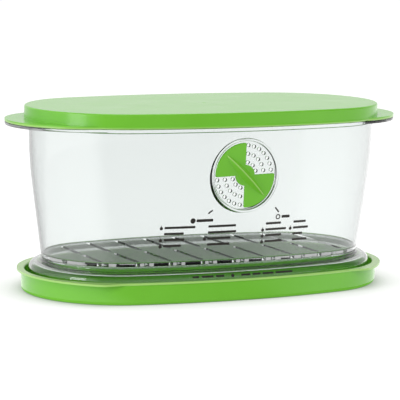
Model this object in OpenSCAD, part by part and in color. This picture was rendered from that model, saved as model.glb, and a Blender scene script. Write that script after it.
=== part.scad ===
// Oval produce keeper: a base tray that holds water, a clear container that stands in it,
// a lid with end tabs, and a quarter-turn vent dial in the container's front wall.
// Millimetres. The origin is the middle of the tray's underside, X runs along the length
// and the vent faces -Y.

/* [Outline] */
// Length of the lid along its skirt, without the end tabs
lid_len = 291; // [255:1:330]
// Width of the lid across its skirt
lid_wid = 156.6; // [135:0.2:185]
// Radius of the long bowed sides of the lid
side_r = 480; // [400:5:700]
// How far the lid's end tabs stand out past its skirt
tab_reach = 16.8; // [12:0.2:20]
// Radius of the tabs' rounded ends
tab_r = 61; // [56:0.5:66]
// How far the tray's end lips stand out past the lid's outline
lip_reach = 4.4; // [3.4:0.2:6]
// How much larger the radius of the lips is than that of the lid's ends
lip_round = 12.5; // [8:0.5:16]
// How far the lips' ends lie inside the lid's sides
lip_side_in = 8.3; // [7:0.1:12]
// Radius of the lips' corners
lip_corner_r = 6; // [3:0.5:8]
// Radius that blends a tab into the long outline
tab_blend_r = 30; // [15:1:45]

/* [Heights] */
// Overall height with the lid on
keeper_h = 143.4; // [125:0.2:175]
// Height of the lid, from the bottom of its skirt to its top
lid_h = 11.4; // [9:0.2:14]
// Height of the base tray
tray_h = 16.8; // [13:0.2:21]
// Height of the container's shoulder above the tray
shoulder_rise = 6.6; // [5.5:0.1:9]
// Height of the container's drained floor above its shoulder
floor_rise = 5.6; // [4.5:0.1:9]

/* [Walls] */
// Wall of the clear container
wall_t = 2.2; // [1.6:0.1:2.8]
// Floor of the clear container
floor_t = 2.4; // [1.8:0.1:3]
// Flange that carries the lid
flange_t = 2.8; // [2.6:0.1:3.4]
// End ears of that flange
ear_t = 2.3; // [1.6:0.1:2.5]
// Skirt and top of the lid
lid_t = 2; // [1.5:0.1:2.6]
// Wall of the base tray
tray_t = 2.5; // [1.8:0.1:3]
// Floor of the base tray
tray_floor_t = 2.2; // [1.6:0.1:3]
// End tabs of the lid
tab_t = 2; // [1.5:0.1:2.6]
// End lips of the tray
lip_t = 1.6; // [1.2:0.1:2.2]

/* [Container] */
// How far the upper wall leans in from the rim to the bend in the wall
upper_lean = 1; // [0.4:0.1:2]
// How far the lower wall leans in from the bend to the waist
lower_lean = 10; // [7:0.2:13]
// Distance from the lid's skirt down to the bend in the wall
bend_drop = 34; // [26:1:40]
// Half the height over which the bend is rounded
bend_soft = 16; // [8:1:18]
// Radius of the foot's shoulder
shoulder_r = 6.8; // [5:0.2:8]
// Radius in the waist, where the wall meets the shoulder
waist_r = 1.6; // [0.8:0.1:2.4]
// Bead round the container's rim, inside the lid
rim_bead = 1; // [0.7:0.1:1.4]
// Gap between the container's foot and the tray's wall
foot_gap = 3; // [2.4:0.1:4]
// Width of the drain slots in the floor
slot_w = 4; // [2.5:0.5:6]
// Distance between drain slots
slot_pitch = 25.7; // [18:0.1:34]
// Solid strip along the middle of the floor
slot_web = 8; // [5:0.5:14]
// Solid border between the slots and the wall
slot_border = 6.5; // [4:0.5:10]

/* [Lid and tray] */
// Height of the rounded bead at the bottom of the lid's skirt
bead_h = 2.3; // [1.8:0.1:3]
// How far that bead stands out past the lid's outline
bead_out = 0.8; // [0.5:0.1:1.2]
// How far the skirt leans out from top to bottom
skirt_lean = 0.3; // [0.1:0.1:0.6]
// Radius of the lid's top edge
lid_edge_r = 1.3; // [0.8:0.1:1.4]
// Depth of the ring under the lid that fits inside the container's rim
plug_h = 4; // [3:0.2:6]
// Thickness of that ring
plug_t = 1.4; // [1:0.1:2]
// How far the tray's wall stands out past the lid's outline
tray_over = 1.5; // [1:0.1:2.5]
// How far the tray's rolled rim stands out past its wall
rim_over = 0.5; // [0.3:0.1:0.9]
// Height of the tray's rolled rim
rim_h = 2.3; // [1.8:0.1:2.4]
// Radius of the tray's bottom edge
tray_edge_r = 3; // [2:0.2:4]
// Height of the ring on the tray's floor that centres the container's foot
ring_h = 4.2; // [3:0.2:6]
// Thickness of that ring
ring_t = 1.8; // [1.2:0.1:2.4]
// Width of the band that the tray stands on
stand_w = 10; // [8:0.5:14]
// How far the tray's underside is raised inside that band
stand_rise = 0.8; // [0.4:0.1:1.2]

/* [Vent] */
// Distance of the vent's centre below the lid's skirt
vent_drop = 36.8; // [34:0.2:42]
// How far the collar's face lies inside the lid's outline
collar_inset = 2.7; // [2:0.1:3.2]
// Wall of the round collar
collar_t = 2; // [1.6:0.1:2.6]
// How much wider the collar would be at its root, 16 mm behind its face
collar_flare = 2.4; // [1:0.1:4]
// How far the dial's face lies behind the collar's face
dial_recess = 0.6; // [0.4:0.1:1]
// Diameter of the dial
dial_d = 49.5; // [44:0.5:54]
// Thickness of the dial's wings
dial_t = 1.7; // [1.4:0.1:2.2]
// Gap between the dial's rim and the collar
dial_rim_gap = 1.6; // [1:0.1:2]
// Angle of each of the dial's two wings, in degrees
wing_angle = 93; // [91:0.5:96]
// Diameter of the dial's hub
hub_d = 16; // [14:0.5:18]
// Length of the grip ridge across the dial
grip_len = 47; // [36:0.5:48]
// Width of the grip ridge at its middle
grip_w = 7.4; // [6:0.1:9]
// Height of the grip ridge at its middle
grip_h = 4.6; // [3:0.1:4.6]
// Thickness of the perforated disc behind the dial
vent_plate_t = 2; // [1.6:0.1:2.4]
// Diameter of the vent holes
hole_d = 3; // [2:0.1:3.6]
// Distance between vent holes along a row
hole_pitch = 4.93; // [4.4:0.01:6]
// Rows of vent holes
hole_rows = 3; // [2:1:3]

/* [Dial pivot] */
// Diameter of the dial's split post
post_d = 6; // [5:0.2:6.6]
// Slot that splits the post
post_slot = 1.2; // [0.8:0.1:1.6]
// How far the post's hooks stand out behind the disc
hook_out = 0.6; // [0.4:0.1:0.9]
// Length of the hooks
hook_len = 2.2; // [1.6:0.1:3]
// Diameter of the stop pin that limits the dial to a quarter turn
stop_d = 1.4; // [1.2:0.1:1.6]
// Depth of the stop pin's groove
stop_depth = 1; // [0.8:0.1:1.2]

/* [Clearances] */
// Between pieces that lift apart
seat_gap = 0.3; // [0.2:0.05:0.5]
// Between the dial and the disc it turns on
turn_gap = 0.2; // [0.1:0.05:0.3]
// Radial gap between the post and its hole
post_gap = 0.05; // [0.02:0.01:0.1]

/* [Hidden] */
$fn = 144;

GREEN = [0.45, 0.75, 0.22];
CLEAR = [0.90, 0.94, 0.95, 0.4];
eps = 0.01;
quarter = 90;

// Four-arc oval: end arcs centred on X, side arcs centred on Y, tangent where they meet
half_l = lid_len / 2;
half_w = lid_wid / 2;
end_r = round((side_r * half_w - (half_l ^ 2 + half_w ^ 2) / 2) / (side_r - half_l) * 1000) / 1000;
end_x = half_l - end_r;
join_a = acos(end_x / (side_r - end_r));
side_y = (side_r - end_r) * sin(join_a);
sweep_over = 2;
blend_sink = 0.4;
lip_drop = 0.1;

// Heights, from the tray's underside up
lid_z = keeper_h - lid_h;
lid_under_z = keeper_h - lid_t;
seat_z = lid_z - seat_gap;
rim_z = lid_under_z - seat_gap;
bend_z = lid_z - bend_drop;
shoulder_z = tray_h + shoulder_rise;
floor_z = shoulder_z + floor_rise;
foot_z = tray_floor_t + seat_gap;
rib_z = tray_floor_t + ring_h;

// Insets from the lid's outline
rim_in = lid_t + seat_gap + rim_bead;
bend_in = rim_in + upper_lean;
waist_in = bend_in + lower_lean;
flange_in = lid_t / 2;
plug_in = rim_in + wall_t + seat_gap;
foot_in = foot_gap + tray_t - tray_over;
ring_in = foot_in + wall_t + seat_gap;
lean_top = upper_lean / (seat_z - bend_z);
lean_low = lower_lean / (bend_z - shoulder_z);
bend_steps = 5;

// Vent: the collar's face, and what lies behind it
vent_z = lid_z - vent_drop;
collar_y = -(half_w - collar_inset);
dial_face_y = collar_y + dial_recess;
dial_back_y = dial_face_y + dial_t;
plate_y = dial_back_y + turn_gap;
plate_back_y = plate_y + vent_plate_t;
dial_r = dial_d / 2;
hub_r = hub_d / 2;
well_r = dial_r + dial_rim_gap;
collar_r = well_r + collar_t;
collar_deep = 16;
post_r = post_d / 2;
stop_ring_r = (post_r + hub_r) / 2;
stop_gap = turn_gap;
hub_margin = 0.5;
rim_margin = 0.35;
row_margin = 1.4;
row_first_r = hub_r + hole_d / 2 + hub_margin;
row_last_r = dial_r - hole_d / 2 - rim_margin;
row_edge = hole_d / 2 + row_margin;

// Half the width of the oval at a given inset and place along its length
function join_x(inset) = end_x + (end_r - inset) * cos(join_a);
function side_half(inset, x) = sqrt((side_r - inset) ^ 2 - x ^ 2) - side_y;
function end_half(inset, x) = sqrt((end_r - inset) ^ 2 - (x - end_x) ^ 2);
function oval_half(inset, x) = abs(x) < join_x(inset) ? side_half(inset, x) : end_half(inset, abs(x));

// Inset of the container's outer wall at height z: two leans with a rounded bend between them
function bend_add(u) = u <= -1 ? 0 : u >= 1 ? bend_soft * u : bend_soft * (u + 1) ^ 2 / 4;
function wall_in(z) = rim_in + lean_top * (seat_z - z)
    + (lean_low - lean_top) * bend_add((bend_z - z) / bend_soft);
function wall_line(t) = concat(
    [[-rim_in - t, rim_z - wall_t / 2], [-rim_in - t, seat_z]],
    [for (i = [0:bend_steps]) let (z = bend_z + bend_soft * (1 - 2 * i / bend_steps)) [-wall_in(z) - t, z]],
    [[-waist_in - t, shoulder_z - (t > 0 ? wall_t : 0)]]
);
function backwards(p) = [for (i = [len(p) - 1:-1:0]) p[i]];

// Plan of the oval, set in from the lid's outline
module oval(inset) {
    for (s = [-1, 1])
        translate([s * end_x, 0])
            circle(end_r - inset);
    intersection() {
        translate([0, side_y])
            circle(side_r - inset);
        translate([0, -side_y])
            circle(side_r - inset);
        square([2 * join_x(inset), lid_wid + lid_len], center = true);
    }
}

// Sweeps a section round the oval, a quarter at a time: the section's X is outwards from the
// lid's outline and its Y is up. Both arcs of a quarter start on the plane where they meet.
module ring() {
    big = lid_len + lid_wid + keeper_h;
    for (mx = [0, 1])
        for (my = [0, 1])
            mirror([mx, 0, 0])
                mirror([0, my, 0])
                    intersection() {
                        translate([end_x, 0, 0])
                            rotate(join_a) {
                                mirror([0, 1, 0])
                                    rotate_extrude(angle = join_a + sweep_over)
                                        translate([end_r, 0])
                                            children();
                                translate([end_r - side_r, 0, 0])
                                    rotate_extrude(angle = 90 - join_a + sweep_over)
                                        translate([side_r, 0])
                                            children();
                            }
                        translate([0, 0, -big / 2])
                            cube(big);
                    }
}

// Plate of the oval between two heights
module plate(inset, z0, z1) {
    translate([0, 0, z0])
        linear_extrude(z1 - z0)
            oval(inset);
}

// Section box between two insets and two heights
module band(in0, in1, z0, z1) {
    translate([-in1, z0])
        square([in1 - in0, z1 - z0]);
}

// Round end piece: a wide arc on both ends, blended into the oval, and cut back inside it. The
// blends run out a little below the oval's surface, so that they cross it instead of grazing it.
module end_pieces(reach, r, inset, z0, z1) {
    arc_x = half_l + reach - r;
    near = end_r - blend_sink + tab_blend_r;
    far = r + tab_blend_r;
    blend_x = (near ^ 2 - far ^ 2 + arc_x ^ 2 - end_x ^ 2) / (2 * (arc_x - end_x));
    blend_y = sqrt(near ^ 2 - (blend_x - end_x) ^ 2);
    translate([0, 0, z0])
        linear_extrude(z1 - z0)
            for (s = [0, 1])
                mirror([s, 0])
                    difference() {
                        union() {
                            translate([arc_x, 0])
                                circle(r);
                            difference() {
                                polygon([[end_x, 0], [blend_x, -blend_y], [arc_x, 0], [blend_x, blend_y]]);
                                translate([blend_x, blend_y])
                                    circle(tab_blend_r);
                                translate([blend_x, -blend_y])
                                    circle(tab_blend_r);
                            }
                        }
                        oval(inset);
                    }
}

// End lips of the tray: wide arcs with rounded corners that stand out past its rim
module tray_lips(inset, z0, z1) {
    lip_r = end_r + lip_round;
    arc_x = half_l + lip_reach - lip_r;
    end_y = half_w - lip_side_in;
    corner_y = end_y - lip_corner_r;
    corner_dx = sqrt((lip_r - lip_corner_r) ^ 2 - corner_y ^ 2);
    translate([0, 0, z0])
        linear_extrude(z1 - z0)
            for (s = [0, 1])
                mirror([s, 0])
                    difference() {
                        union() {
                            intersection() {
                                translate([arc_x, 0])
                                    circle(lip_r);
                                translate([arc_x, 0])
                                    polygon(2 * [[0, 0], [corner_dx, -corner_y], [corner_dx, corner_y]]);
                            }
                            for (t = [-1, 1])
                                translate([arc_x + corner_dx, t * corner_y])
                                    circle(lip_corner_r);
                            translate([0, -end_y])
                                square([arc_x + corner_dx, 2 * end_y]);
                        }
                        oval(inset);
                    }
}

// Sets a shape up on the vent's axis, its Z out through the front and its Y up
module on_vent(y) {
    translate([0, y, vent_z])
        rotate([90, 0, 0])
            children();
}

module tray_section() {
    edge_in = tray_edge_r - tray_over;
    // wall
    band(-tray_over, tray_t - tray_over, tray_edge_r, tray_h - rim_h / 2);
    // bottom edge
    intersection() {
        translate([-edge_in, tray_edge_r])
            circle(tray_edge_r);
        band(-tray_over, edge_in, 0, tray_edge_r);
    }
    band(edge_in, edge_in + stand_w, 0, tray_floor_t);
    // rolled rim
    translate([tray_over + rim_over - rim_h / 2, tray_h - rim_h / 2])
        circle(rim_h / 2);
    translate([tray_over - tray_t + rim_h / 2, tray_h - rim_h / 2])
        circle(rim_h / 2);
    band(rim_h / 2 - tray_over - rim_over, tray_t - tray_over - rim_h / 2, tray_h - rim_h, tray_h);
    // ring that centres the foot
    band(ring_in, ring_in + ring_t, tray_floor_t - eps, rib_z);
}

module base_tray() {
    floor_in = tray_edge_r - tray_over + stand_w;
    lip_z = tray_h - lip_drop;
    color(GREEN) {
        ring()
            tray_section();
        plate(floor_in - ring_t, stand_rise, stand_rise + tray_floor_t);
        tray_lips(rim_h / 2 - tray_over, lip_z - lip_t, lip_z);
    }
}

module container_section() {
    shoulder_x = -foot_in - shoulder_r;
    // wall, with its rounded top
    polygon(concat(wall_line(0), backwards(wall_line(wall_t))));
    translate([-rim_in - wall_t / 2, rim_z - wall_t / 2])
        circle(wall_t / 2);
    translate([-rim_in, rim_z - wall_t])
        circle(rim_bead);
    // flange under the lid's skirt
    band(flange_in, rim_in + wall_t / 2, seat_z - flange_t, seat_z);
    // waist, shelf and shoulder
    difference() {
        band(waist_in - waist_r, waist_in + wall_t / 2, shoulder_z, shoulder_z + waist_r);
        translate([waist_r - waist_in, shoulder_z + waist_r])
            circle(waist_r);
    }
    band(-shoulder_x, waist_in + wall_t, shoulder_z - wall_t, shoulder_z);
    intersection() {
        translate([shoulder_x, shoulder_z - shoulder_r])
            difference() {
                circle(shoulder_r);
                circle(shoulder_r - wall_t);
            }
        band(foot_in, -shoulder_x, shoulder_z - shoulder_r, shoulder_z);
    }
    // foot, with its rounded edge
    band(foot_in, foot_in + wall_t, foot_z + wall_t / 2, shoulder_z - shoulder_r);
    translate([-foot_in - wall_t / 2, foot_z + wall_t / 2])
        circle(wall_t / 2);
}

// Collar that stands out round the vent, cut off along a plane that runs within the wall
module vent_collar() {
    top_y = wall_in(vent_z + collar_r) + wall_t / 2 - half_w;
    low_y = wall_in(vent_z - collar_r) + wall_t / 2 - half_w;
    difference() {
        on_vent(collar_y + collar_deep)
            rotate(quarter / 3)
                cylinder(h = collar_deep, r1 = collar_r + collar_flare, r2 = collar_r);
        translate([0, (top_y + low_y) / 2, vent_z])
            rotate([atan((low_y - top_y) / (2 * collar_r)), 0, 0])
                translate([-2 * collar_r, 0, -2 * collar_r])
                    cube(4 * collar_r);
    }
    on_vent(plate_back_y)
        cylinder(h = vent_plate_t, r = well_r + collar_t / 2);
}

// Wells in front of and behind the perforated disc
module vent_wells() {
    on_vent(plate_y)
        cylinder(h = collar_deep, r = well_r);
    on_vent(plate_back_y + collar_deep)
        cylinder(h = collar_deep, r = well_r);
}

// Rows of round holes in the two quarters that the open dial leaves free
module vent_holes() {
    for (turn = [0, 180])
        for (row = [0:hole_rows - 1])
            let (
                r = row_first_r + (row_last_r - row_first_r) * row / (hole_rows - 1),
                gaps = floor((r * PI / 2 - 2 * row_edge) / hole_pitch),
                step = hole_pitch / r * 180 / PI
            )
                for (i = [0:gaps])
                    on_vent(plate_back_y + vent_plate_t / 2)
                        rotate(turn + quarter / 2 + (i - gaps / 2) * step)
                            translate([r, 0, 0])
                                cylinder(h = 2 * vent_plate_t, d = hole_d);
}

// Hole for the dial's post, and the quarter-turn groove for its stop pin
module pivot_cuts() {
    groove_w = stop_d + 2 * stop_gap;
    on_vent(plate_back_y + vent_plate_t / 2)
        cylinder(h = 2 * vent_plate_t, r = post_r + post_gap);
    on_vent(plate_y + stop_depth) {
        rotate(quarter / 2)
            rotate_extrude(angle = quarter)
                translate([stop_ring_r - groove_w / 2, 0])
                    square([groove_w, 2 * stop_depth]);
        for (a = [1, 3])
            rotate(a * quarter / 2)
                translate([stop_ring_r, 0, 0])
                    cylinder(h = 2 * stop_depth, d = groove_w);
    }
}

// Drain slots across the floor, in front of and behind its middle strip
module drain_slots() {
    inset = waist_in + wall_t + slot_border;
    count = floor((end_x + end_r - inset - slot_w) / slot_pitch);
    slot_r = slot_w / 2;
    for (i = [-count:count])
        for (s = [-1, 1])
            let (
                x = i * slot_pitch,
                y0 = slot_web / 2 + slot_r,
                y1 = oval_half(inset, x) - slot_r
            )
                translate([x, 0, floor_z - 2 * floor_t])
                    linear_extrude(3 * floor_t) {
                        translate([-slot_r, s > 0 ? y0 : -y1])
                            square([slot_w, y1 - y0]);
                        for (y = [y0, y1])
                            translate([0, s * y])
                                circle(slot_r);
                    }
}

module container() {
    color(CLEAR)
        difference() {
            union() {
                ring()
                    container_section();
                plate(wall_in(floor_z) + wall_t / 2, floor_z - floor_t, floor_z);
                end_pieces(tab_reach, tab_r, rim_in + wall_t / 4, seat_z - ear_t, seat_z);
                vent_collar();
            }
            vent_wells();
            vent_holes();
            pivot_cuts();
            drain_slots();
        }
}

module lid_section() {
    ring_z = lid_under_z - plug_h;
    edge_z = keeper_h - lid_edge_r;
    // skirt
    polygon([[0, edge_z], [-lid_t, edge_z], [-lid_t, lid_z], [0, lid_z], [skirt_lean, lid_z + bead_h / 2]]);
    // bead
    translate([bead_out - bead_h / 2, lid_z + bead_h / 2])
        circle(bead_h / 2);
    band(bead_h / 2 - bead_out, lid_t, lid_z, lid_z + bead_h / 2);
    // rounded top edge and the rim of the top
    translate([-lid_edge_r, edge_z])
        circle(lid_edge_r);
    band(lid_edge_r, plug_in + plug_t, lid_under_z, keeper_h);
    // ring that fits inside the container
    band(plug_in, plug_in + plug_t, ring_z, lid_under_z + eps);
}

module lid() {
    gate_r = 5;
    gate_deep = 0.3;
    color(GREEN)
        difference() {
            union() {
                ring()
                    lid_section();
                plate(plug_in, lid_under_z, keeper_h);
                end_pieces(tab_reach, tab_r, lid_t / 2, lid_z, lid_z + tab_t);
            }
            // mark left by the mould's gate
            translate([0, 0, keeper_h + gate_r - gate_deep])
                sphere(gate_r);
        }
}

// One wing of the dial, centred on an angle
module wing(angle) {
    far = 2 * dial_r;
    intersection() {
        circle(dial_r);
        polygon([
            [0, 0],
            [far * cos(angle - wing_angle / 2), far * sin(angle - wing_angle / 2)],
            [far * cos(angle), far * sin(angle)],
            [far * cos(angle + wing_angle / 2), far * sin(angle + wing_angle / 2)]
        ]);
    }
}

// Leaf-shaped grip: two spheres meet in a sharp crest that sinks into the dial at both tips
module grip() {
    half = grip_len / 2;
    crest_r = (half ^ 2 + grip_h ^ 2) / (2 * grip_h);
    depth = crest_r - grip_h;
    apart = (crest_r ^ 2 - depth ^ 2 - (grip_w / 2) ^ 2) / grip_w;
    ball_r = sqrt(crest_r ^ 2 + apart ^ 2);
    intersection() {
        translate([0, apart, -depth])
            sphere(ball_r);
        translate([0, -apart, -depth])
            sphere(ball_r);
        translate([-half, -grip_w, -dial_t / 2])
            cube([grip_len, 2 * grip_w, dial_t / 2 + grip_h]);
    }
}

// Split post with two hooks, and the stop pin
module dial_post() {
    neck = turn_gap + vent_plate_t + turn_gap;
    difference() {
        translate([0, 0, -neck - hook_len]) {
            cylinder(h = neck + hook_len + eps, r = post_r);
            cylinder(h = hook_len, r1 = post_r - hook_out, r2 = post_r + hook_out);
        }
        translate([-post_slot / 2, -dial_r, -2 * neck - hook_len])
            cube([post_slot, dial_d, 2 * neck + hook_len - turn_gap]);
    }
    rotate(3 * quarter / 2)
        translate([stop_ring_r, 0, -stop_depth])
            cylinder(h = stop_depth + eps, d = stop_d);
}

module vent_dial() {
    color(GREEN)
        on_vent(dial_back_y) {
            linear_extrude(dial_t) {
                circle(hub_r);
                wing(3 * quarter / 2);
                wing(-quarter / 2);
            }
            translate([0, 0, dial_t])
                rotate(3 * quarter / 2)
                    grip();
            dial_post();
        }
}

base_tray();
container();
lid();
vent_dial();
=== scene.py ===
"""Oval produce keeper: green tray, lid and vent dial in moulded polypropylene, round a clear
moulded container with a perforated vent disc and a few printed marks. Lengths are in millimetres,
under the names that they have in the keeper's drawing, and MM turns them into metres."""

import math

import bmesh
import bpy
from mathutils import Matrix, Vector


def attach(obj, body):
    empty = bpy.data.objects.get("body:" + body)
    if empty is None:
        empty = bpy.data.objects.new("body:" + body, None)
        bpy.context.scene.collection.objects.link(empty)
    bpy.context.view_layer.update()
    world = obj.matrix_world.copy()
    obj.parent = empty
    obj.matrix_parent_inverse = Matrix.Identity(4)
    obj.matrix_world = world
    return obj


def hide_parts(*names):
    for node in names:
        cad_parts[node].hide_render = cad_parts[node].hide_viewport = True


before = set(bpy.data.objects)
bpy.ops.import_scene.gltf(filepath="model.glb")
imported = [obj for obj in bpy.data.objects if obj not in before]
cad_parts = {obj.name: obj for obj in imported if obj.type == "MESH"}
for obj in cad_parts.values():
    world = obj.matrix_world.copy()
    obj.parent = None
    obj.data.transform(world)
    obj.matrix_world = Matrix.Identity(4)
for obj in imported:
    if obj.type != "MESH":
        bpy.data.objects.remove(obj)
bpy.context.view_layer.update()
MM = 0.001

# Outline and heights
LID_LEN, LID_WID, SIDE_R = 291.0, 156.6, 480.0
TAB_REACH, TAB_R, TAB_BLEND_R, BLEND_SINK = 16.8, 61.0, 30.0, 0.4
KEEPER_H, LID_H, TRAY_H = 143.4, 11.4, 16.8
SHOULDER_RISE, FLOOR_RISE = 6.6, 5.6

# Walls, and the shape of the container
WALL_T, FLOOR_T, FLANGE_T, EAR_T, LID_T, TRAY_FLOOR_T = 2.2, 2.4, 2.8, 2.3, 2.0, 2.2
UPPER_LEAN, LOWER_LEAN, BEND_DROP, BEND_SOFT = 1.0, 10.0, 34.0, 16.0
SHOULDER_R, WAIST_R, RIM_BEAD, FOOT_IN, SEAT_GAP = 6.8, 1.6, 1.0, 4.0, 0.3
SLOT_W, SLOT_PITCH, SLOT_WEB, SLOT_BORDER = 4.0, 25.7, 8.0, 6.5

# Vent
VENT_DROP, COLLAR_INSET, COLLAR_T, COLLAR_FLARE, COLLAR_DEEP = 36.8, 2.7, 2.0, 2.4, 16.0
DIAL_RECESS, DIAL_D, DIAL_T, DIAL_RIM_GAP, VENT_PLATE_T, TURN_GAP = 0.6, 49.5, 1.7, 1.6, 2.0, 0.2
HUB_D, HOLE_D, HOLE_PITCH, HOLE_ROWS = 16.0, 3.0, 4.93, 3
HUB_MARGIN, RIM_MARGIN, ROW_MARGIN = 0.5, 0.35, 1.4
POST_D, POST_GAP, STOP_D, STOP_DEPTH = 6.0, 0.05, 1.4, 1.0
WING_A, GRIP_LEN, GRIP_W, GRIP_H = 93.0, 47.0, 7.4, 4.6
POST_SLOT, HOOK_OUT, HOOK_LEN = 1.2, 0.6, 2.2

# Softened corners and edges
FLOOR_CORNER_R, UNDER_CORNER_R, BEAD_ROOT_R, WALL_ROOT_R, FLANGE_EDGE_R = 1.2, 0.8, 0.4, 0.6, 0.5
EAR_EDGE_R, COLLAR_EDGE_R, MOUTH_EDGE_R = 0.5, 0.5, 0.4
WING_CORNER_R, WING_EDGE_R, GRIP_CREST = 1.2, 0.5, 0.35

# Print: drawn flat in front of the wall, then laid on it
INK_Y, INK_LIFT, INK_T = -95.0, 0.02, 0.03

# Four-arc oval: end arcs centred on X, side arcs centred on Y
HALF_L, HALF_W = LID_LEN / 2, LID_WID / 2
END_R = round((SIDE_R * HALF_W - (HALF_L ** 2 + HALF_W ** 2) / 2) / (SIDE_R - HALF_L), 3)
END_X = HALF_L - END_R
JOIN_A = math.degrees(math.acos(END_X / (SIDE_R - END_R)))
SIDE_Y = (SIDE_R - END_R) * math.sin(math.radians(JOIN_A))

# Levels, and how far inside the lid's outline the wall stands
LID_Z = KEEPER_H - LID_H
SEAT_Z = LID_Z - SEAT_GAP
RIM_Z = KEEPER_H - LID_T - SEAT_GAP
BEND_Z = LID_Z - BEND_DROP
SHOULDER_Z = TRAY_H + SHOULDER_RISE
FLOOR_Z = SHOULDER_Z + FLOOR_RISE
FOOT_Z = TRAY_FLOOR_T + SEAT_GAP
RIM_IN = LID_T + SEAT_GAP + RIM_BEAD
WAIST_IN = RIM_IN + UPPER_LEAN + LOWER_LEAN
FLANGE_IN = LID_T / 2

# Depths and radii on the vent's axis
VENT_Z = LID_Z - VENT_DROP
COLLAR_Y = -(HALF_W - COLLAR_INSET)
DIAL_FACE_Y = COLLAR_Y + DIAL_RECESS
DIAL_BACK_Y = DIAL_FACE_Y + DIAL_T
PLATE_Y = DIAL_BACK_Y + TURN_GAP
PLATE_BACK_Y = PLATE_Y + VENT_PLATE_T
WELL_R = DIAL_D / 2 + DIAL_RIM_GAP
COLLAR_R = WELL_R + COLLAR_T
STOP_RING_R = (POST_D / 2 + HUB_D / 2) / 2
WING_MIDDLES = (135, 315)

# Fineness: steps along curves, how far a cutter reaches past what it cuts, how deep a body starts
# inside what it joins, and two tolerances
SIDE_STEPS, END_STEPS, WALL_STEPS, TAB_STEPS, BLEND_STEPS = 20, 36, 22, 60, 14
ROUND_STEPS, SMALL_STEPS, GROOVE_STEPS, GRIP_STEPS = 96, 28, 24, 48
PAST, EAR_SINK, POST_SINK, SAME, NEAR = 1.0, 0.02, 0.3, 0.001, 0.01


def wall_in(z):
    """How far the container's outer wall lies inside the lid's outline at a height."""
    lean_top = UPPER_LEAN / (SEAT_Z - BEND_Z)
    lean_low = LOWER_LEAN / (BEND_Z - SHOULDER_Z)
    u = (BEND_Z - z) / BEND_SOFT
    bend = 0 if u <= -1 else BEND_SOFT * u if u >= 1 else BEND_SOFT * (u + 1) ** 2 / 4
    return RIM_IN + lean_top * (SEAT_Z - z) + (lean_low - lean_top) * bend


def oval_half(inset, x):
    """Half the width of the oval at a place along its length."""
    if abs(x) < END_X + (END_R - inset) * math.cos(math.radians(JOIN_A)):
        return math.sqrt((SIDE_R - inset) ** 2 - x ** 2) - SIDE_Y
    return math.sqrt((END_R - inset) ** 2 - (abs(x) - END_X) ** 2)


def arc(x, z, r, start, end, steps):
    """Points of an arc, its angles in degrees."""
    turns = [math.radians(start + (end - start) * i / steps) for i in range(steps + 1)]
    return [(x + r * math.cos(t), z + r * math.sin(t)) for t in turns]


def edge_chain(name, points):
    """Draws a chain of edges: a vertex, extruded from point to point. Ends in edit mode, with
    everything selected."""
    bpy.ops.object.select_all(action="DESELECT")
    bpy.ops.mesh.primitive_plane_add(size=MM, location=points[0])
    piece = bpy.context.active_object
    piece.name = name
    bpy.ops.object.transform_apply(location=True, rotation=True, scale=True)
    bpy.ops.object.mode_set(mode="EDIT")
    bpy.ops.mesh.select_mode(type="VERT")
    bpy.ops.mesh.select_all(action="SELECT")
    bpy.ops.mesh.merge(type="CENTER")
    for a, b in zip(points, points[1:]):
        bpy.ops.mesh.extrude_region_move(TRANSFORM_OT_translate={"value": Vector(b) - Vector(a)})
    bpy.ops.mesh.select_all(action="SELECT")
    return piece


def close_face():
    """Fills a closed chain of edges, after its last point is merged with its first."""
    bpy.ops.mesh.remove_doubles(threshold=SAME * MM)
    bpy.ops.mesh.edge_face_add()


def face_outwards():
    """In edit mode, points every face outwards, and ends in object mode."""
    bpy.ops.mesh.select_all(action="SELECT")
    bpy.ops.mesh.normals_make_consistent(inside=False)
    bpy.ops.object.mode_set(mode="OBJECT")


def select_edges(piece, wanted):
    """In edit mode, selects just the edges whose two ends, in millimetres, pass a test."""
    bpy.ops.mesh.select_mode(type="EDGE")
    bpy.ops.mesh.select_all(action="DESELECT")
    mesh = bmesh.from_edit_mesh(piece.data)
    for edge in mesh.edges:
        if wanted(edge.verts[0].co / MM, edge.verts[1].co / MM, edge):
            edge.select_set(True)
    bmesh.update_edit_mesh(piece.data)


def select_corners(piece, wanted):
    """In edit mode, selects just the vertices that pass a test."""
    bpy.ops.mesh.select_mode(type="VERT")
    bpy.ops.mesh.select_all(action="DESELECT")
    mesh = bmesh.from_edit_mesh(piece.data)
    for vert in mesh.verts:
        vert.select_set(wanted(vert))
    bmesh.update_edit_mesh(piece.data)


def apply_modifier(piece, kind, **settings):
    """Adds a modifier to a piece, sets it and applies it."""
    bpy.ops.object.select_all(action="DESELECT")
    bpy.context.view_layer.objects.active = piece
    piece.select_set(True)
    modifier = piece.modifiers.new("Shape", kind)
    for name, value in settings.items():
        setattr(modifier, name, value)
    bpy.ops.object.modifier_apply(modifier="Shape")


def combine(piece, tool, operation):
    """Joins a body to a piece or cuts the piece with it, and removes the body."""
    apply_modifier(piece, "BOOLEAN", object=tool, operation=operation, solver="EXACT")
    bpy.data.objects.remove(tool)


def join_bodies(bodies):
    """Makes one object of several bodies."""
    bpy.ops.object.select_all(action="DESELECT")
    for body in bodies:
        body.select_set(True)
    bpy.context.view_layer.objects.active = bodies[0]
    bpy.ops.object.join()
    return bodies[0]


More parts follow.
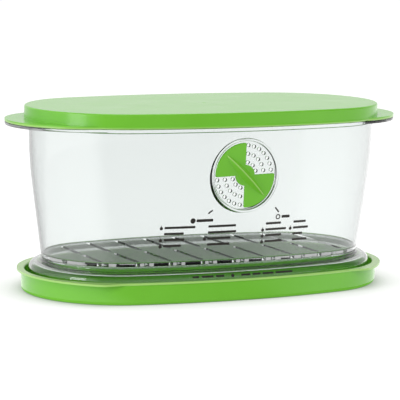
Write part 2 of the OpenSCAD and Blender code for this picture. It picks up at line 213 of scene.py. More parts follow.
def sweep_oval(name, section):
    """Spins a section round a quarter of the oval, mirrors it to the whole ring and fills the two
    flat faces that its ends leave open. The section's first number is outwards from the lid's
    outline. With no window, spin turns the other way, so its angles are negative."""
    piece = edge_chain(name, [(0, -(HALF_W + out) * MM, z * MM) for out, z in section])
    bpy.ops.mesh.spin(
        steps=SIDE_STEPS, angle=-math.radians(90 - JOIN_A), center=(0, SIDE_Y * MM, 0), axis=(0, 0, 1))
    bpy.ops.mesh.spin(
        steps=END_STEPS, angle=-math.radians(JOIN_A), center=(END_X * MM, 0, 0), axis=(0, 0, 1))
    bpy.ops.object.mode_set(mode="OBJECT")
    apply_modifier(
        piece, "MIRROR", use_axis=(True, True, False), use_mirror_merge=True, merge_threshold=NEAR * MM)
    bpy.ops.object.mode_set(mode="EDIT")
    for height in (section[0][1], section[-1][1]):
        level = lambda p: abs(p.z - height) < NEAR
        select_edges(piece, lambda a, b, edge: len(edge.link_faces) == 1 and level(a) and level(b))
        bpy.ops.mesh.edge_face_add()
    face_outwards()
    return piece


def container_ears():
    """Flat rounded ear under both ends of the lid: a wide arc, two blends, and an inner edge hidden
    in the wall."""
    low, high, inner = SEAT_Z - EAR_T, SEAT_Z - EAR_SINK, RIM_IN + WALL_T / 3
    arc_x = HALF_L + TAB_REACH - TAB_R
    near, far = END_R - BLEND_SINK + TAB_BLEND_R, TAB_R + TAB_BLEND_R
    blend_x = (near ** 2 - far ** 2 + arc_x ** 2 - END_X ** 2) / (2 * (arc_x - END_X))
    blend_y = math.sqrt(near ** 2 - (blend_x - END_X) ** 2)
    out_a = math.degrees(math.atan2(blend_y, blend_x - arc_x))
    in_a = math.degrees(math.atan2(blend_y, blend_x - END_X))
    outline = arc(blend_x, -blend_y, TAB_BLEND_R, 180 - in_a, 180 - out_a, BLEND_STEPS)
    outline += arc(arc_x, 0, TAB_R, -out_a, out_a, TAB_STEPS)
    outline += arc(blend_x, blend_y, TAB_BLEND_R, 180 + out_a, 180 + in_a, BLEND_STEPS)
    outline += arc(END_X, 0, END_R - inner, in_a, -in_a, 40)
    ears = edge_chain("ears", [(x * MM, y * MM, low * MM) for x, y in outline + outline[:1]])
    close_face()
    bpy.ops.mesh.extrude_region_move(TRANSFORM_OT_translate={"value": (0, 0, (high - low) * MM)})
    free = lambda p: math.hypot(p.x - END_X, p.y) > END_R - inner + 0.5
    select_edges(ears, lambda a, b, edge: abs(a.z - b.z) < SAME and free(a) and free(b))
    bpy.ops.mesh.bevel(offset=EAR_EDGE_R * MM, segments=3, profile=0.5)
    face_outwards()
    apply_modifier(ears, "MIRROR", use_axis=(True, False, False), use_mirror_merge=False)
    bpy.ops.object.mode_set(mode="EDIT")
    face_outwards()
    return ears


def on_vent(x, z, y):
    """Point in metres from a place on the dial's face and a depth."""
    return (x * MM, y * MM, (VENT_Z + z) * MM)


def vent_body(name, front_y, back_y, front_r, back_r, at=(0, 0)):
    """Round body on the vent's axis, or beside it, between two depths."""
    bpy.ops.object.select_all(action="DESELECT")
    bpy.ops.mesh.primitive_cone_add(
        vertices=ROUND_STEPS if front_r > 5 else SMALL_STEPS,
        radius1=back_r * MM, radius2=front_r * MM, depth=(back_y - front_y) * MM,
        location=on_vent(at[0], at[1], (front_y + back_y) / 2), rotation=(math.radians(90), 0, 0))
    body = bpy.context.active_object
    body.name = name
    bpy.ops.object.transform_apply(location=True, rotation=True, scale=True)
    return body


def container_section():
    """Section of the clear container: from its floor's top up the inside, over the rim, flange,
    waist, shoulder and foot, to the floor's underside."""
    inner = lambda z: -wall_in(z) - WALL_T
    outer = lambda z: -wall_in(z)
    half_t, root, lip = WALL_T / 2, WALL_ROOT_R, FLANGE_EDGE_R
    flange_z, under_z = SEAT_Z - FLANGE_T, FLOOR_Z - FLOOR_T
    floor_end = inner(FLOOR_Z) - 3.0

    def wall(side, start, end):
        return [(side(z), z) for z in [start + (end - start) * i / WALL_STEPS for i in range(WALL_STEPS + 1)]]

    section = [(floor_end, FLOOR_Z)]
    corner_z = FLOOR_Z + FLOOR_CORNER_R
    section += arc(inner(corner_z) - FLOOR_CORNER_R, corner_z, FLOOR_CORNER_R, -90, -4, 5)
    section += wall(inner, corner_z + 1, SEAT_Z)
    section += arc(-RIM_IN - half_t, RIM_Z - half_t, half_t, 180, 12, 12)
    section += arc(-RIM_IN, RIM_Z - WALL_T, RIM_BEAD, 68, -78, 12)
    section += arc(BEAD_ROOT_R - RIM_IN, SEAT_Z + BEAD_ROOT_R, BEAD_ROOT_R, 180, 270, 4)
    section += arc(-FLANGE_IN - lip, SEAT_Z - lip, lip, 90, 0, 5)
    section += arc(-FLANGE_IN - lip, flange_z + lip, lip, 0, -90, 5)
    section += arc(root + outer(flange_z - root), flange_z - root, root, 90, 180, 4)
    section += wall(outer, flange_z - 1.6, SHOULDER_Z + WAIST_R + root)
    section += arc(WAIST_R - WAIST_IN, SHOULDER_Z + WAIST_R, WAIST_R, 172, 270, 8)
    section += arc(-FOOT_IN - SHOULDER_R, SHOULDER_Z - SHOULDER_R, SHOULDER_R, 90, 0, 16)
    section += arc(-FOOT_IN - half_t, FOOT_Z + half_t, half_t, 0, -180, 10)
    section += arc(-FOOT_IN - SHOULDER_R, SHOULDER_Z - SHOULDER_R, SHOULDER_R - WALL_T, 0, 90, 12)
    section += arc(root - WAIST_IN - WALL_T, SHOULDER_Z - WALL_T + root, root, 270, 180, 4)
    corner_z = under_z - UNDER_CORNER_R
    section += arc(inner(corner_z) - UNDER_CORNER_R, corner_z, UNDER_CORNER_R, 0, 90, 4)
    return section + [(floor_end, under_z)]


def drain_slots():
    """Rounded slots across the floor, in front of and behind its middle strip."""
    inset = WAIST_IN + WALL_T + SLOT_BORDER
    count = int((END_X + END_R - inset - SLOT_W) / SLOT_PITCH)
    slots = []
    for i in range(-count, count + 1):
        x = i * SLOT_PITCH
        near, far = SLOT_WEB / 2, oval_half(inset, x)
        for side in (-1, 1):
            bpy.ops.object.select_all(action="DESELECT")
            bpy.ops.mesh.primitive_cube_add(
                size=MM, location=(x * MM, side * (near + far) / 2 * MM, (FLOOR_Z - FLOOR_T / 2) * MM),
                scale=(SLOT_W, far - near, 3 * FLOOR_T))
            slot = bpy.context.active_object
            bpy.ops.object.transform_apply(location=True, rotation=True, scale=True)
            bpy.ops.object.mode_set(mode="EDIT")
            select_edges(slot, lambda a, b, edge: abs(a.z - b.z) > FLOOR_T)
            bpy.ops.mesh.bevel(offset=0.499 * SLOT_W * MM, segments=8, profile=0.5)
            bpy.ops.object.mode_set(mode="OBJECT")
            slots.append(slot)
    return join_bodies(slots)


def vent_holes():
    """Rows of round holes in the two quarters that the open dial leaves free, and the pivot's hole."""
    front, back = PLATE_Y - PAST, PLATE_BACK_Y + PAST
    hole_r, pivot_r = HOLE_D / 2, POST_D / 2 + POST_GAP
    first = HUB_D / 2 + hole_r + HUB_MARGIN
    last = DIAL_D / 2 - hole_r - RIM_MARGIN
    holes = []
    for turn in (0, 180):
        for row in range(HOLE_ROWS):
            r = first + (last - first) * row / (HOLE_ROWS - 1)
            gaps = int((r * math.pi / 2 - 2 * (hole_r + ROW_MARGIN)) / HOLE_PITCH)
            for i in range(gaps + 1):
                a = math.radians(turn + 45) + (i - gaps / 2) * HOLE_PITCH / r
                place = (r * math.cos(a), r * math.sin(a))
                holes.append(vent_body("hole", front, back, hole_r, hole_r, place))
    holes.append(vent_body("pivot", front, back, pivot_r, pivot_r))
    return join_bodies(holes)


def stop_groove():
    """Quarter-turn groove for the dial's stop pin."""
    half, deep, start = STOP_D / 2 + TURN_GAP, STOP_DEPTH, math.radians(45)
    box = [(-half, -deep), (half, -deep), (half, deep), (-half, deep), (-half, -deep)]
    groove = edge_chain("groove", [
        on_vent((STOP_RING_R + out) * math.cos(start), (STOP_RING_R + out) * math.sin(start), PLATE_Y + y)
        for out, y in box])
    close_face()
    bpy.ops.mesh.spin(steps=GROOVE_STEPS, angle=-math.radians(90), center=on_vent(0, 0, 0), axis=(0, -1, 0))
    face_outwards()
    return groove


def vent_collar():
    """Flared collar round the vent, cut off behind along the middle of the leaning wall."""
    top_y = wall_in(VENT_Z + COLLAR_R) + WALL_T / 2 - HALF_W
    low_y = wall_in(VENT_Z - COLLAR_R) + WALL_T / 2 - HALF_W
    tilt = math.atan((low_y - top_y) / (2 * COLLAR_R))
    collar = vent_body("collar", COLLAR_Y, COLLAR_Y + COLLAR_DEEP, COLLAR_R, COLLAR_R + COLLAR_FLARE)
    bpy.ops.object.mode_set(mode="EDIT")
    bpy.ops.mesh.select_all(action="SELECT")
    bpy.ops.mesh.bisect(
        plane_co=on_vent(0, 0, (top_y + low_y) / 2), plane_no=(0, math.cos(tilt), math.sin(tilt)),
        use_fill=True, clear_outer=True)
    front = lambda p: abs(p.y - COLLAR_Y) < NEAR
    select_edges(collar, lambda a, b, edge: front(a) and front(b))
    bpy.ops.mesh.bevel(offset=COLLAR_EDGE_R * MM, segments=4, profile=0.5)
    bpy.ops.object.mode_set(mode="OBJECT")
    return collar


def clear_container():
    """The clear container in one piece: wall, rim, flange and ears, foot, drained floor and vent."""
    piece = sweep_oval("clear_container", container_section())
    combine(piece, container_ears(), "UNION")
    combine(piece, vent_collar(), "UNION")
    combine(piece, vent_body("bore", COLLAR_Y - 5 * PAST, COLLAR_Y + COLLAR_DEEP, WELL_R, WELL_R), "DIFFERENCE")
    bpy.ops.object.mode_set(mode="EDIT")
    mouth = lambda p: abs(p.y - COLLAR_Y) < NEAR and abs(math.hypot(p.x, p.z - VENT_Z) - WELL_R) < 5 * NEAR
    select_edges(piece, lambda a, b, edge: mouth(a) and mouth(b))
    bpy.ops.mesh.bevel(offset=MOUTH_EDGE_R * MM, segments=4, profile=0.5)
    bpy.ops.object.mode_set(mode="OBJECT")
    disc_r = WELL_R + COLLAR_T / 2
    combine(piece, vent_body("disc", PLATE_Y, PLATE_BACK_Y, disc_r, disc_r), "UNION")
    for cutter in (vent_holes, stop_groove, drain_slots):
        combine(piece, cutter(), "DIFFERENCE")
    return piece


def grip_section():
    """Section of the grip, as places across it and heights over the dial's face, with the radius of
    its crest and the depth of the axis that it turns about. The flanks lie on a ball's surface, and
    the crest is soft."""
    crest_r = ((GRIP_LEN / 2) ** 2 + GRIP_H ** 2) / (2 * GRIP_H)
    depth = crest_r - GRIP_H
    apart = (crest_r ** 2 - depth ** 2 - (GRIP_W / 2) ** 2) / GRIP_W
    ball_r = math.hypot(crest_r, apart)
    flank = lambda across: math.sqrt(ball_r ** 2 - (across + apart) ** 2) - depth
    edge = GRIP_W / 2 + 0.5
    right = [(a, flank(a)) for a in [edge - (edge - GRIP_CREST) * i / 10 for i in range(11)]]
    slope = (right[-1][1] - right[-2][1]) / (right[-2][0] - right[-1][0])
    top, rise = right[-1][1], GRIP_CREST * slope / 2
    right += [(GRIP_CREST * 0.5, top + rise * 0.75), (0, top + rise)]
    return right + [(-a, h) for a, h in reversed(right[:-1])], crest_r, depth


def grip_body():
    """Leaf-shaped grip: its section turned about an axis deep behind the dial, cut off inside the
    dial's plate and laid at 45 degrees."""
    section, crest_r, depth = grip_section()
    reach = math.acos(depth / crest_r) + 0.02
    turned = lambda a, h: on_vent(
        -(depth + h) * math.sin(reach), a, DIAL_FACE_Y + depth - (depth + h) * math.cos(reach))
    grip = edge_chain("grip", [turned(a, h) for a, h in section + section[:1]])
    close_face()
    bpy.ops.mesh.spin(
        steps=GRIP_STEPS, angle=-2 * reach, center=on_vent(0, 0, DIAL_FACE_Y + depth), axis=(0, 0, 1))
    bpy.ops.mesh.select_all(action="SELECT")
    bpy.ops.mesh.normals_make_consistent(inside=False)
    bpy.ops.mesh.bisect(
        plane_co=on_vent(0, 0, DIAL_FACE_Y + DIAL_T / 2), plane_no=(0, 1, 0), use_fill=True, clear_outer=True)
    bpy.ops.object.mode_set(mode="OBJECT")
    middle = Vector(on_vent(0, 0, 0))
    slant = Matrix.Rotation(math.radians(45), 4, "Y")
    grip.matrix_world = Matrix.Translation(middle) @ slant @ Matrix.Translation(-middle)
    bpy.ops.object.transform_apply(location=True, rotation=True, scale=True)
    return grip


def dial_plate():
    """Flat part of the dial: two wings with rounded corners and front edges, on a hub."""
    hub_r, dial_r, half = HUB_D / 2, DIAL_D / 2, WING_A / 2
    outline = []
    for middle in WING_MIDDLES:
        outline += arc(0, 0, dial_r, middle - half, middle + half, 40)
        outline += arc(0, 0, hub_r, middle + half, middle + 180 - half, 16)
    dial = edge_chain("dial", [on_vent(x, z, DIAL_BACK_Y) for x, z in outline + outline[:1]])
    close_face()
    bpy.ops.mesh.extrude_region_move(TRANSFORM_OT_translate={"value": (0, -DIAL_T * MM, 0)})
    tips = [arc(0, VENT_Z, dial_r, middle + side * half, 0, 1)[0] for middle in WING_MIDDLES for side in (-1, 1)]
    tip = lambda p: min(math.hypot(p.x - x, p.z - z) for x, z in tips) < 0.1
    select_edges(dial, lambda a, b, edge: abs(a.y - b.y) > DIAL_T / 2 and tip(a))
    bpy.ops.mesh.bevel(offset=WING_CORNER_R * MM, segments=6, profile=0.5)
    front = lambda p: abs(p.y - DIAL_FACE_Y) < SAME
    select_edges(dial, lambda a, b, edge: front(a) and front(b))
    bpy.ops.mesh.bevel(offset=WING_EDGE_R * MM, segments=4, profile=0.5)
    face_outwards()
    return dial


def vent_dial():
    """The dial in one piece: its plate, the leaf-shaped grip, the split post with its hooks and the
    stop pin."""
    root_y, neck_y = DIAL_BACK_Y - POST_SINK, PLATE_BACK_Y + TURN_GAP
    post_r, end_y = POST_D / 2, neck_y + HOOK_LEN
    dial = dial_plate()
    combine(dial, grip_body(), "UNION")
    post = vent_body("post", root_y, end_y, post_r, post_r)
    combine(post, vent_body("hooks", neck_y, end_y, post_r + HOOK_OUT, post_r - HOOK_OUT), "UNION")
    bpy.ops.object.select_all(action="DESELECT")
    near, far = DIAL_BACK_Y + TURN_GAP, end_y + PAST
    bpy.ops.mesh.primitive_cube_add(
        size=MM, location=on_vent(0, 0, (near + far) / 2), scale=(POST_SLOT, far - near, DIAL_D))
    combine(post, bpy.context.active_object, "DIFFERENCE")
    combine(dial, post, "UNION")
    place = arc(0, 0, STOP_RING_R, WING_MIDDLES[0], 0, 1)[0]
    combine(dial, vent_body("pin", root_y, DIAL_BACK_Y + STOP_DEPTH, STOP_D / 2, STOP_D / 2, place), "UNION")
    bpy.ops.object.mode_set(mode="EDIT")
    bpy.ops.mesh.select_all(action="SELECT")
    bpy.ops.mesh.remove_doubles(threshold=5 * SAME * MM)
    bpy.ops.object.mode_set(mode="OBJECT")
    return dial


def ink_bar(x, z, w, h, turn=0):
    """Flat bar with rounded corners in front of the container, split along its length so that it
    can follow the wall. A new grid ignores its scale, so the scale is given afterwards."""
    bpy.ops.object.select_all(action="DESELECT")
    bpy.ops.mesh.primitive_grid_add(
        x_subdivisions=max(2, int(w / 2.5)), y_subdivisions=2, size=MM,
        location=(x * MM, INK_Y * MM, z * MM), rotation=(math.radians(90), math.radians(turn), 0))
    bar = bpy.context.active_object
    bar.scale = (w, h, 1)
    bpy.ops.object.transform_apply(location=False, rotation=False, scale=True)
    bpy.ops.object.mode_set(mode="EDIT")
    select_corners(bar, lambda vert: len(vert.link_edges) == 2)
    bpy.ops.mesh.bevel(offset=0.3 * h * MM, segments=3, profile=0.5, affect="VERTICES")
    bpy.ops.object.mode_set(mode="OBJECT")
    bpy.ops.object.transform_apply(location=True, rotation=True, scale=True)
    return bar


def ink_round(x, z, r, inner=0, tip=0):
    """Flat dot in front of the container: a ring where it has an inner radius, a drop where it has
    a tip."""
    bpy.ops.object.select_all(action="DESELECT")
    bpy.ops.mesh.primitive_circle_add(
        vertices=24, radius=r * MM, fill_type="NOTHING" if inner else "TRIFAN",
        location=(x * MM, INK_Y * MM, z * MM), rotation=(math.radians(90), 0, 0))
    dot = bpy.context.active_object
    bpy.ops.object.transform_apply(location=True, rotation=True, scale=True)
    bpy.ops.object.mode_set(mode="EDIT")
    if inner:
        bpy.ops.mesh.select_all(action="SELECT")
        bpy.ops.mesh.extrude_region_move()
        bpy.ops.transform.resize(value=(inner / r, 1, inner / r), center_override=(x * MM, INK_Y * MM, z * MM))
    if tip:
        select_corners(dot, lambda vert: vert.co.z / MM > z + 0.99 * r)
        bpy.ops.transform.translate(value=(0, 0, tip * MM))
    bpy.ops.object.mode_set(mode="OBJECT")
    return dot


def ink_marks(wall):
    """Print on the front wall: a pointer and a sign for each end of the dial's turn, filled for shut
    and open for open, columns of bars with a drop before some of them, and a line of bars on the foot."""
    sign_z, sign_r, sign_h, pointer_h = 61.1, 2.1, 2.2, 1.2
    row_z, row_drop, row_h = 56.3, 4.7, 1.8
    foot_z, foot_h = 18.8, 1.4
    drop_r, drop_tip = 1.3, 1.5
    marks = [
        ink_bar(30.7, 66.75, 5.4, pointer_h, 48.7), ink_bar(-26.15, 67.6, 4.5, pointer_h, -35.1),
        ink_round(32.1, sign_z, sign_r, 1.2), ink_bar(39.0, sign_z, 7.4, sign_h),
        ink_round(-39.8, sign_z, sign_r), ink_bar(-30.2, sign_z, 13.6, sign_h)]
    columns = (
        (-62.0, (24.5, 15.5, 16.5, 14.0), (True, False, True, True)),
        (-27.0, (23.0, 23.5, 19.0, 18.5), (False, False, True, False)),
        (21.8, (13.5, 18.5, 14.5, 15.5), (False, True, True, True)),
        (46.6, (11.5, 14.0, 9.0, 13.5), (False, True, False, False)))
    for left, widths, drops in columns:
        for row, (width, drop) in enumerate(zip(widths, drops)):
            z = row_z - row_drop * row
            marks.append(ink_bar(left + width / 2, z, width, row_h))
            if drop:
                marks.append(ink_round(left - 2.4, z - 0.4, drop_r, 0, drop_tip))
    foot_line = (
        (-41.7, -36.2), (-34.2, -24.6), (-22.6, -15.6), (-1.4, 6.4), (8.2, 15.2), (17.0, 26.6), (28.4, 43.7))
    for start, end in foot_line:
        marks.append(ink_bar((start + end) / 2, foot_z, end - start, foot_h))
    marks.append(ink_round(-8.6, foot_z - 0.2, drop_r, 0, drop_tip))
    marks = join_bodies(marks)
    marks.name = "ink_marks"
    apply_modifier(
        marks, "SHRINKWRAP", target=wall, wrap_method="PROJECT", use_project_y=True,
        use_positive_direction=True, use_negative_direction=False, wrap_mode="ABOVE_SURFACE",
        offset=INK_LIFT * MM)
    apply_modifier(marks, "SOLIDIFY", thickness=INK_T * MM, offset=0)
    bpy.ops.object.mode_set(mode="EDIT")
    face_outwards()
    return marks


def finish_piece(piece, material, body):
    """Smooth shading with crisp corners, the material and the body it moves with."""
    bpy.ops.object.select_all(action="DESELECT")
    bpy.context.view_layer.objects.active = piece
    piece.select_set(True)
    bpy.ops.object.shade_smooth_by_angle(angle=math.radians(32))
    apply_modifier(piece, "WEIGHTED_NORMAL", keep_sharp=True)
    piece.data.materials.clear()
    piece.data.materials.append(material)
    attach(piece, body)


def linear(code):
    """Linear colour from an sRGB hex code."""
    parts = [int(code[i:i + 2], 16) / 255 for i in (0, 2, 4)]
    return [p / 12.92 if p <= 0.04045 else ((p + 0.055) / 1.055) ** 2.4 for p in parts] + [1.0]


def new_tree(name):
    """A new material and its empty node tree."""
    material = bpy.data.materials.new(name)
    material.use_nodes = True
    material.node_tree.nodes.clear()
    return material, material.node_tree


def add_node(tree, kind, inputs=None, **settings):
    """Adds a node with its settings. Each input is a value or the output that feeds it."""
    node = tree.nodes.new(kind)
    for name, value in settings.items():
        setattr(node, name, value)
    for name, value in (inputs or {}).items():
        if isinstance(value, bpy.types.NodeSocket):
            tree.links.new(value, node.inputs[name])
        else:
            node.inputs[name].default_value = value
    return node


def painted_edge_highlights(tree, place, crest):
    """How strong the painted highlight is on each thin edge: the tray's rim, the lid's bead, and the crest
    of the dial's grip, which crosses the vent at 45 degrees. The paler colour stands in for gloss
    catching the light along them. An edge is where its two fades overlap, and the strongest painted
    highlight counts."""
    spot = add_node(tree, "ShaderNodeSeparateXYZ", {"Vector": place}).outputs
    slant = add_node(
        tree, "ShaderNodeVectorMath", {0: place, 1: (0.7071, 0, 0.7071)}, operation="DOT_PRODUCT")
    aside = add_node(
        tree, "ShaderNodeMath", {0: slant.outputs["Value"], 1: 0.7071 * VENT_Z * MM}, operation="SUBTRACT")
    aside = add_node(tree, "ShaderNodeMath", {0: aside.outputs[0]}, operation="ABSOLUTE").outputs[0]
    # Bands of painted highlight, each made of two fades: the tray's rim and the lid's bead by height, the grip's
    # crest across it and in front of the dial's face
    tray_rim = (
        (spot["Z"], TRAY_H - 1.9, TRAY_H - 1.3, 0.0, 1.0), (spot["Z"], TRAY_H + 1, TRAY_H + 2, 1.0, 0.0))
    lid_bead = (
        (spot["Z"], LID_Z + 1.5, LID_Z + 0.9, 0.0, 0.8), (spot["Z"], LID_Z - 1, LID_Z - 0.5, 0.0, 1.0))
    grip_crest = (
        (aside, 0.25, 0.75, crest, 0.0), (spot["Y"], DIAL_FACE_Y - 0.1, DIAL_FACE_Y - 0.5, 0.0, 1.0))
    strongest_highlight = 0.0
    for edge in (tray_rim, lid_bead, grip_crest):
        pale = 1.0
        for value, start, end, low, high in edge:
            fade = add_node(tree, "ShaderNodeMapRange", {
                "Value": value, "From Min": start * MM, "From Max": end * MM, "To Min": low, "To Max": high},
                interpolation_type="SMOOTHSTEP")
            pale = add_node(
                tree, "ShaderNodeMath", {0: pale, 1: fade.outputs[0]}, operation="MULTIPLY").outputs[0]
        strongest_highlight = add_node(tree, "ShaderNodeMath", {0: strongest_highlight, 1: pale}, operation="MAXIMUM").outputs[0]
    return strongest_highlight


def moulded_green(name, crest=0.0):
    """Polypropylene, injection moulded in a polished tool: a satin gloss that turns pale at a grazing
    look, flow clouds of about 28 mm in the colour and the gloss, and an orange peel of 1.6 mm, which
    is as fine as the render shows. The tray's floor is etched matt. The tray's rim, the lid's bead and
    the grip's top get a painted highlight, a paler green mixed into the colour, and the crest says how
    strong the painted highlight is along the grip's top."""
    material, tree = new_tree(name)
    place = add_node(tree, "ShaderNodeTexCoord").outputs["Object"]
    clouds = add_node(tree, "ShaderNodeTexNoise", {
        "Vector": place, "Scale": 1 / (28 * MM), "Detail": 2.0, "Roughness": 0.5}).outputs[0]
    colour = add_node(
        tree, "ShaderNodeMix", {0: clouds, 6: linear("6ab82a"), 7: linear("72c034")}, data_type="RGBA")
    # Painted highlight: a paler green mixed in along the tray's rim, the lid's bead and the grip's crest
    colour = add_node(tree, "ShaderNodeMix", {
        0: painted_edge_highlights(tree, place, crest), 6: colour.outputs[2], 7: linear("a0cf6c")}, data_type="RGBA")
    height = add_node(tree, "ShaderNodeSeparateXYZ", {"Vector": place}).outputs["Z"]
    etched = add_node(tree, "ShaderNodeMapRange", {
        "Value": height, "From Min": (TRAY_FLOOR_T + 0.2) * MM, "From Max": (TRAY_FLOOR_T + 0.6) * MM,
        "To Min": 1.0, "To Max": 0.0}, interpolation_type="SMOOTHSTEP")
    polished = add_node(tree, "ShaderNodeMapRange", {"Value": clouds, "To Min": 0.19, "To Max": 0.25})
    rough = add_node(
        tree, "ShaderNodeMath", {0: polished.outputs[0], 1: etched.outputs[0]}, operation="MAXIMUM")
    peel = add_node(tree, "ShaderNodeTexNoise", {"Vector": place, "Scale": 1 / (1.6 * MM), "Detail": 1.0})
    bump = add_node(
        tree, "ShaderNodeBump", {"Height": peel.outputs[0], "Strength": 0.12, "Distance": 0.05 * MM})
    surface = add_node(tree, "ShaderNodeBsdfPrincipled", {
        "Base Color": colour.outputs[2], "Roughness": rough.outputs[0], "IOR": 1.49,
        "Normal": bump.outputs[0]})
    add_node(tree, "ShaderNodeOutputMaterial", {"Surface": surface.outputs[0]})
    return material


def printed_ink():
    """Pad-printed ink: thin, near black and half matt, a little uneven over about 2.5 mm where the
    pad pressed less."""
    material, tree = new_tree("printed_ink")
    place = add_node(tree, "ShaderNodeTexCoord").outputs["Object"]
    press = add_node(
        tree, "ShaderNodeTexNoise", {"Vector": place, "Scale": 1 / (2.5 * MM), "Detail": 2.0}).outputs[0]
    colour = add_node(
        tree, "ShaderNodeMix", {0: press, 6: linear("1a1815"), 7: linear("3a3630")}, data_type="RGBA")
    rough = add_node(tree, "ShaderNodeMapRange", {"Value": press, "To Min": 0.4, "To Max": 0.55})
    surface = add_node(tree, "ShaderNodeBsdfPrincipled", {
        "Base Color": colour.outputs[2], "Roughness": rough.outputs[0], "IOR": 1.48})
    add_node(tree, "ShaderNodeOutputMaterial", {"Surface": surface.outputs[0]})
    return material


def moulded_clear():
    """Styrene acrylonitrile, injection moulded clear: glassy, bends what is behind it, greys a little
    where the look runs along the wall, with slow waves of about 35 mm from the moulding. Light from
    the lamps goes straight through it."""
    material, tree = new_tree("moulded_clear_styrene")
    place = add_node(tree, "ShaderNodeTexCoord").outputs["Object"]
    waves = add_node(tree, "ShaderNodeTexNoise", {"Vector": place, "Scale": 1 / (35 * MM), "Detail": 1.0})
    bump = add_node(
        tree, "ShaderNodeBump", {"Height": waves.outputs[0], "Strength": 0.1, "Distance": 0.4 * MM})
    surface = add_node(tree, "ShaderNodeBsdfPrincipled", {
        "Base Color": linear("f3f6f5"), "Roughness": 0.02, "IOR": 1.5, "Transmission Weight": 1.0,
        "Normal": bump.outputs[0]})
    through = add_node(tree, "ShaderNodeBsdfTransparent", {"Color": linear("f0f3f2")})
    path = add_node(tree, "ShaderNodeLightPath").outputs
    lamps = add_node(
        tree, "ShaderNodeMath", {0: path["Is Shadow Ray"], 1: path["Is Diffuse Ray"]}, operation="MAXIMUM")
    mix = add_node(
        tree, "ShaderNodeMixShader", {0: lamps.outputs[0], 1: surface.outputs[0], 2: through.outputs[0]})
    add_node(tree, "ShaderNodeOutputMaterial", {"Surface": mix.outputs[0]})
    return material


def room_glow(tree, sides):
    """Strength of the glow that gloss picks up from the room: the strongest of what its sides give."""
    strongest = 0.0
    for side, start, end, low, high in sides:
        given = add_node(tree, "ShaderNodeMapRange", {
            "Value": side, "From Min": start, "From Max": end, "To Min": low, "To Max": high},
            interpolation_type="SMOOTHSTEP")
        strongest = add_node(
            tree, "ShaderNodeMath", {0: strongest, 1: given.outputs[0]}, operation="MAXIMUM").outputs[0]
    return strongest


def by_sight(tree, lighting, glow, seen):
    """Picks one shader for what lights the keeper, a glow for what its gloss picks up around it, and
    one for what the camera sees, straight or through the clear wall. Light that was mirrored inside
    the clear wall or below it brings less of the glow, as it does with a dark room round the studio."""
    path = add_node(tree, "ShaderNodeLightPath").outputs
    bent = add_node(
        tree, "ShaderNodeMath", {0: path["Is Glossy Ray"], 1: path["Is Transmission Ray"]}, operation="MAXIMUM")
    mirrored = add_node(tree, "ShaderNodeMath", {0: path["Glossy Depth"], 1: 0.5}, operation="GREATER_THAN")
    inside = add_node(
        tree, "ShaderNodeMath", {0: mirrored.outputs[0], 1: path["Is Transmission Ray"]}, operation="MULTIPLY")
    deep = add_node(tree, "ShaderNodeMapRange", {
        "Value": path["Transmission Depth"], "From Min": 4.0, "From Max": 5.0, "To Min": 0.5, "To Max": 0.85},
        interpolation_type="SMOOTHSTEP")
    lost = add_node(tree, "ShaderNodeMath", {0: inside.outputs[0], 1: deep.outputs[0]}, operation="MULTIPLY")
    kept = add_node(tree, "ShaderNodeMath", {0: 1.0, 1: lost.outputs[0]}, operation="SUBTRACT")
    strength = add_node(tree, "ShaderNodeMath", {0: glow, 1: kept.outputs[0]}, operation="MULTIPLY")
    around = add_node(tree, "ShaderNodeEmission", {"Color": linear("ffffff"), "Strength": strength.outputs[0]})
    unseen = add_node(tree, "ShaderNodeMixShader", {0: bent.outputs[0], 1: lighting, 2: around.outputs[0]})
    straight = add_node(
        tree, "ShaderNodeMath", {0: path["Is Transmission Ray"], 1: inside.outputs[0]}, operation="SUBTRACT")
    sight = add_node(
        tree, "ShaderNodeMath", {0: path["Is Camera Ray"], 1: straight.outputs[0]}, operation="MAXIMUM")
    return add_node(tree, "ShaderNodeMixShader", {0: sight.outputs[0], 1: unseen.outputs[0], 2: seen})


def backdrop():
    """White backdrop. For gloss, the room in front of the keeper is dimmer than the backdrop behind
    it, and a white screen stands at its left."""
    world = bpy.data.worlds.new("studio")
    bpy.context.scene.world = world
    world.use_nodes = True
    tree = world.node_tree
    tree.nodes.clear()
    way = add_node(tree, "ShaderNodeTexCoord").outputs["Generated"]
    way = add_node(tree, "ShaderNodeSeparateXYZ", {"Vector": way}).outputs
    glow = room_glow(tree, ((way["Y"], -0.2, 0.35, 0.2, 1.0), (way["X"], -0.6, -0.85, 0.0, 1.6)))
    soft = add_node(tree, "ShaderNodeBackground", {"Color": linear("ffffff"), "Strength": 0.5})
    white = add_node(tree, "ShaderNodeBackground", {"Color": linear("ffffff"), "Strength": 1.0})
    mix = by_sight(tree, soft.outputs[0], glow, white.outputs[0])
    add_node(tree, "ShaderNodeOutputWorld", {"Surface": mix.outputs[0]})


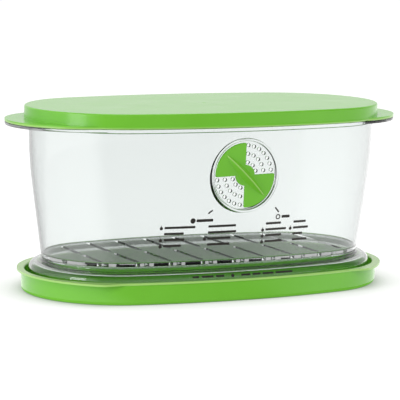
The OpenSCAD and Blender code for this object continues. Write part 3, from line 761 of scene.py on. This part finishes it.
def paper_floor():
    """Pale paper floor that keeps the keeper's soft shadow, which is deepest within 60 mm of it. For
    gloss it is dim in front of the keeper and bright beside and behind it."""
    bpy.ops.object.select_all(action="DESELECT")
    bpy.ops.mesh.primitive_plane_add(size=12, location=(0, 0, -0.2 * MM))
    floor = bpy.context.active_object
    floor.name = "floor"
    material, tree = new_tree("pale_paper_floor")
    place = add_node(tree, "ShaderNodeTexCoord").outputs["Object"]
    spot = add_node(tree, "ShaderNodeSeparateXYZ", {"Vector": place}).outputs
    turn = add_node(tree, "ShaderNodeVectorMath", {0: place}, operation="NORMALIZE")
    turn = add_node(tree, "ShaderNodeSeparateXYZ", {"Vector": turn.outputs[0]}).outputs
    glow = room_glow(tree, (
        (spot["Y"], -0.06, 0.06, 0.2, 1.0), (turn["X"], -0.62, -0.9, 0.0, 1.5), (turn["X"], 0.1, 0.8, 0.0, 1.5)))
    paper = add_node(tree, "ShaderNodeEmission", {"Color": linear("ffffff"), "Strength": 0.8})
    matt = add_node(tree, "ShaderNodeBsdfDiffuse", {"Color": linear("b0b0b0")})
    shade = add_node(tree, "ShaderNodeAmbientOcclusion", {"Distance": 60 * MM})
    lift = add_node(tree, "ShaderNodeEmission", {"Color": shade.outputs["Color"], "Strength": 0.79})
    seen = add_node(tree, "ShaderNodeAddShader", {0: matt.outputs[0], 1: lift.outputs[0]})
    mix = by_sight(tree, paper.outputs[0], glow, seen.outputs[0])
    add_node(tree, "ShaderNodeOutputMaterial", {"Surface": mix.outputs[0]})
    floor.data.materials.append(material)


def studio_lamps():
    """Broad square lamps, as name, place and size in metres, power in watts, and whether gloss shows
    the lamp."""
    lamps = (
        ("key", (-1.1, -1.5, 1.7), 1.6, 13.5, False), ("low", (-1.9, -0.55, 0.45), 0.75, 13, True),
        ("fill", (1.7, -1.3, 1.1), 1.6, 12.5, False), ("top", (0.1, 0.5, 2.2), 2.0, 11, True))
    aim = Vector((0, 0, 0.07))
    for name, place, size, power, in_gloss in lamps:
        lamp = bpy.data.lights.new(name, "AREA")
        lamp.shape, lamp.size, lamp.energy = "SQUARE", size, power
        holder = bpy.data.objects.new(name, lamp)
        bpy.context.scene.collection.objects.link(holder)
        holder.location = place
        holder.rotation_euler = (aim - Vector(place)).to_track_quat("-Z", "Y").to_euler()
        holder.visible_glossy = in_gloss
        holder.visible_transmission = False


def long_camera():
    """Long lens from the left and a little above. Its place was solved at 0.97 of a millimetre to
    the unit, with the aim moved aside and down by a few units, and its lens for a picture 400 wide."""
    azimuth, elevation, roll = (math.radians(a) for a in (-25.6371, 7.8743, 1.0273))
    unit, distance, aside, down, lens_px = 0.97 * MM, 1850.81, 2.028, 11.4134, 2278.9175
    back = Vector((
        math.sin(azimuth) * math.cos(elevation), -math.cos(azimuth) * math.cos(elevation), math.sin(elevation)))
    right = Vector((math.cos(azimuth), math.sin(azimuth), 0))
    up = back.cross(right)
    right, up = right * math.cos(roll) + up * math.sin(roll), up * math.cos(roll) - right * math.sin(roll)
    eye = (Vector((0, 0, 80)) - aside * right - down * up + back * distance) * unit
    camera = bpy.data.cameras.new("camera")
    holder = bpy.data.objects.new("camera", camera)
    bpy.context.scene.collection.objects.link(holder)
    holder.matrix_world = Matrix.Translation(eye) @ Matrix((right, up, back)).transposed().to_4x4()
    camera.sensor_width = 36
    camera.lens = lens_px * camera.sensor_width / 400
    camera.clip_end = 50
    bpy.context.scene.camera = holder


backdrop()
paper_floor()
studio_lamps()
long_camera()

green = moulded_green("moulded_polypropylene_green")
for node in ("base_tray", "lid"):
    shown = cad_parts[node]
    shown.data.materials.clear()
    shown.data.materials.append(green)

container = clear_container()
finish_piece(container, moulded_clear(), "container")
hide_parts("container")

marks = ink_marks(container)
finish_piece(marks, printed_ink(), "container")

dial = vent_dial()
# The dial's green carries a painted highlight of 0.9 along the grip's crest
finish_piece(dial, moulded_green("moulded_polypropylene_green_dial", 0.9), "dial")
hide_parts("vent_dial")

bpy.context.scene.view_settings.view_transform = "Standard"
